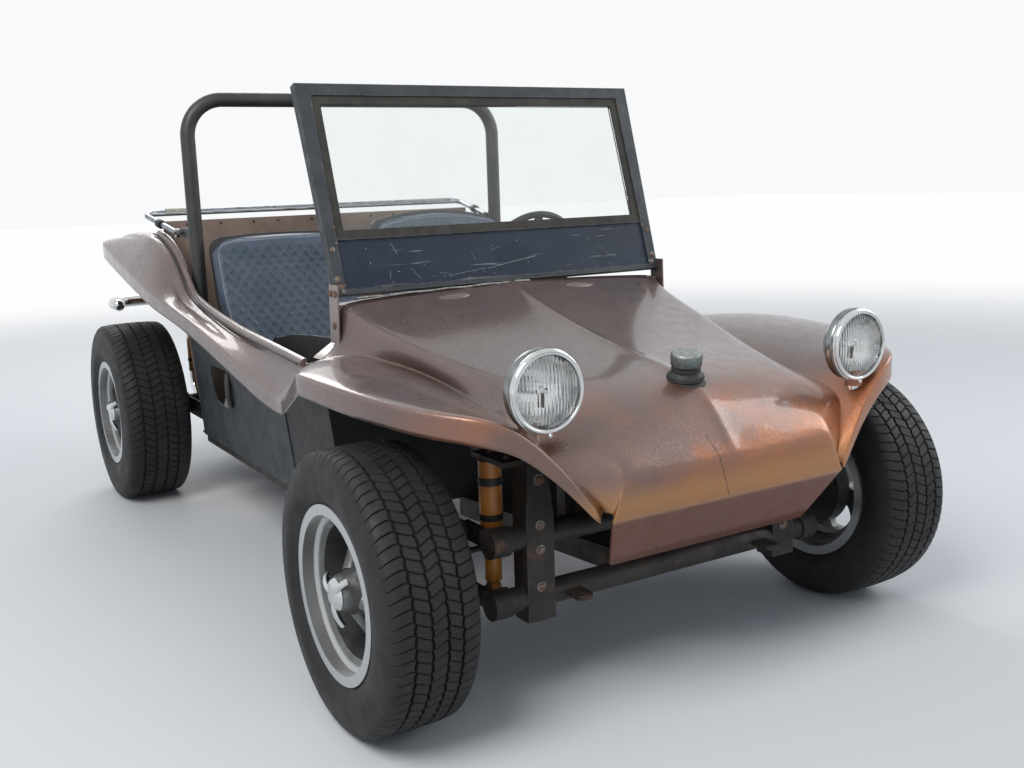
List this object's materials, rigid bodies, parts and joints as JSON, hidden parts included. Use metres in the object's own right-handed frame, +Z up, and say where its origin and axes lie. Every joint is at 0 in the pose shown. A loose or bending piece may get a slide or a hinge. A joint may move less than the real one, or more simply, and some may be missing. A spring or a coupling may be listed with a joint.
{
  "type": "dune buggy",
  "caption": "Open two-seat dune buggy with a moulded body, upright windscreen, roll hoop, low-back seats and slotted cast wheels, on a rear-engined floor pan.",
  "frame": {"origin": "on the ground, in the middle of the overall length and width", "axes": "+Z up, +Y to the rear, +X to the car's left side"},
  "size_m": [1.72, 3.4, 1.575],
  "materials": {
    "body_paint": "satin metalflake",
    "slate_paint": "weathered",
    "navy_panel": "scratched",
    "old_rubber": "aged",
    "black_rubber": "matt",
    "clear_glass": "clear",
    "lamp_glass": "fluted",
    "red_lens": "gloss",
    "black_trim": "grained",
    "quilted_vinyl": "quilted",
    "dark_steel": "rusty",
    "brown_steel": "worn",
    "orange_paint": "gloss",
    "black_paint": "satin",
    "cast_alloy": "cast",
    "cast_wheel": "cast and polished",
    "chrome": "polished",
    "tyre": "worn"
  },
  "bodies": {
    "chassis": {"hood": "body_paint", "front_fenders": "body_paint", "side_sills": "body_paint", "rear_fenders": "body_paint", "rear_deck": "body_paint", "rear_bulkhead": "body_paint", "tub_walls": "slate_paint", "footwell_walls": "black_trim", "side_trims": "black_trim", "floor_pan": "dark_steel", "dashboard": "body_paint", "windscreen_frame": "slate_paint", "windscreen_panel": "navy_panel", "windscreen_seal": "old_rubber", "windscreen_glass": "clear_glass", "windscreen_straps": "body_paint", "roll_hoop": "brown_steel", "seat_shells": "black_trim", "seat_pads": "quilted_vinyl", "steering_column": "dark_steel", "floor_controls": "dark_steel", "fuel_tank": "dark_steel", "filler_boot": "black_rubber", "filler_cap": "chrome", "headlamps": "chrome", "headlamp_lenses": "lamp_glass", "tail_lamps": "red_lens", "front_beam": "dark_steel", "front_arms": "dark_steel", "shock_absorbers": "orange_paint", "rear_axle": "dark_steel", "rear_shocks": "orange_paint", "engine": "cast_alloy", "engine_shroud": "black_paint", "carburettor": "cast_alloy", "exhaust": "dark_steel", "rear_bumper": "chrome"},
    "steering_wheel": {"steering_wheel": "black_trim"},
    "track_rod": {"track_rod": "dark_steel"},
    "top_bow": {"top_bow": "brown_steel"},
    "knuckle_left": {"front_knuckle_left": "dark_steel"},
    "wheel_front_left": {"front_tyre_left": "tyre", "front_rim_left": "cast_wheel", "front_spinner_left": "chrome"},
    "wheel_rear_left": {"rear_tyre_left": "tyre", "rear_rim_left": "cast_wheel", "rear_spinner_left": "chrome"},
    "knuckle_right": {"front_knuckle_right": "dark_steel"},
    "wheel_front_right": {"front_tyre_right": "tyre", "front_rim_right": "cast_wheel", "front_spinner_right": "chrome"},
    "wheel_rear_right": {"rear_tyre_right": "tyre", "rear_rim_right": "cast_wheel", "rear_spinner_right": "chrome"}
  },
  "joints": [
    {"name": "steer_right", "type": "hinge", "parent": "chassis", "child": "knuckle_right", "pos_m": [-0.575, -1.3, 0.332], "axis": [0, 0, 1], "range_deg": [-25, 25]},
    {"name": "steer_left", "type": "hinge", "parent": "chassis", "child": "knuckle_left", "pos_m": [0.575, -1.3, 0.332], "axis": [0, 0, 1], "range_deg": [-25, 25]},
    {"name": "steering_turn", "type": "hinge", "parent": "chassis", "child": "steering_wheel", "pos_m": [0.29, -0.37, 0.965], "axis": [0, 0.9135, 0.4067], "range_deg": [-360, 360]},
    {"name": "track_rod_slide", "type": "slide", "parent": "chassis", "child": "track_rod", "axis": [1, 0, 0], "range_m": [-0.055, 0.055]},
    {"name": "wheel_front_left_spin", "type": "hinge", "parent": "knuckle_left", "child": "wheel_front_left", "pos_m": [0.7455, -1.3, 0.332], "axis": [1, 0, 0], "continuous": true},
    {"name": "wheel_front_right_spin", "type": "hinge", "parent": "knuckle_right", "child": "wheel_front_right", "pos_m": [-0.7455, -1.3, 0.332], "axis": [1, 0, 0], "continuous": true},
    {"name": "wheel_rear_left_spin", "type": "hinge", "parent": "chassis", "child": "wheel_rear_left", "pos_m": [0.7125, 1.1, 0.357], "axis": [1, 0, 0], "continuous": true},
    {"name": "wheel_rear_right_spin", "type": "hinge", "parent": "chassis", "child": "wheel_rear_right", "pos_m": [-0.7125, 1.1, 0.357], "axis": [1, 0, 0], "continuous": true},
    {"name": "bow_fold", "type": "hinge", "parent": "chassis", "child": "top_bow", "pos_m": [0, 0.5, 1.09], "axis": [1, 0, 0], "range_deg": [0, 75]}
  ],
  "couplings": [
    {"joint": "steer_left", "follows": "steer_right", "ratio": 1},
    {"joint": "steering_turn", "follows": "steer_right", "ratio": 14},
    {"joint": "track_rod_slide", "follows": "steer_right", "m_per_rad": -0.12}
  ]
}
